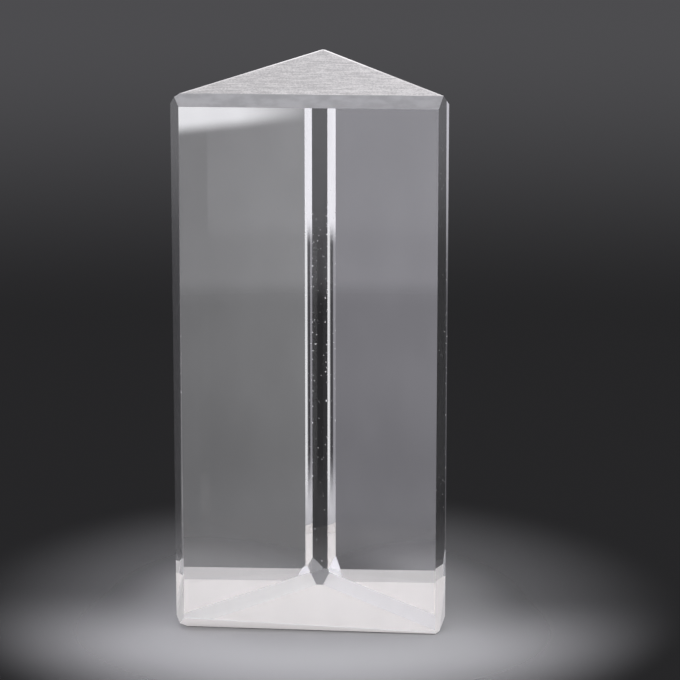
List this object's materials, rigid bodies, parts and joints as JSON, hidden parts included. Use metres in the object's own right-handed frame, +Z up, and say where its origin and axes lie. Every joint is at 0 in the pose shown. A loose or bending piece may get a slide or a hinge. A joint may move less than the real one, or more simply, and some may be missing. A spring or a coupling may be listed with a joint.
{
  "type": "triangular glass prism",
  "caption": "Upright equilateral prism of clear optical glass, with polished faces, bevelled long edges and fine-ground bevelled ends, for bending and dispersing light.",
  "frame": {"origin": "where the prism's axis, through the centre of its triangle, meets the ground end that it stands on", "axes": "+Z up along the prism's axis, -Y out of the front face, +X to the right seen from the front"},
  "size_m": [0.0247, 0.022, 0.05],
  "materials": {
    "glass": "polished faces, fine-ground ends"
  },
  "bodies": {
    "root": {"prism": "glass"}
  },
  "joints": []
}
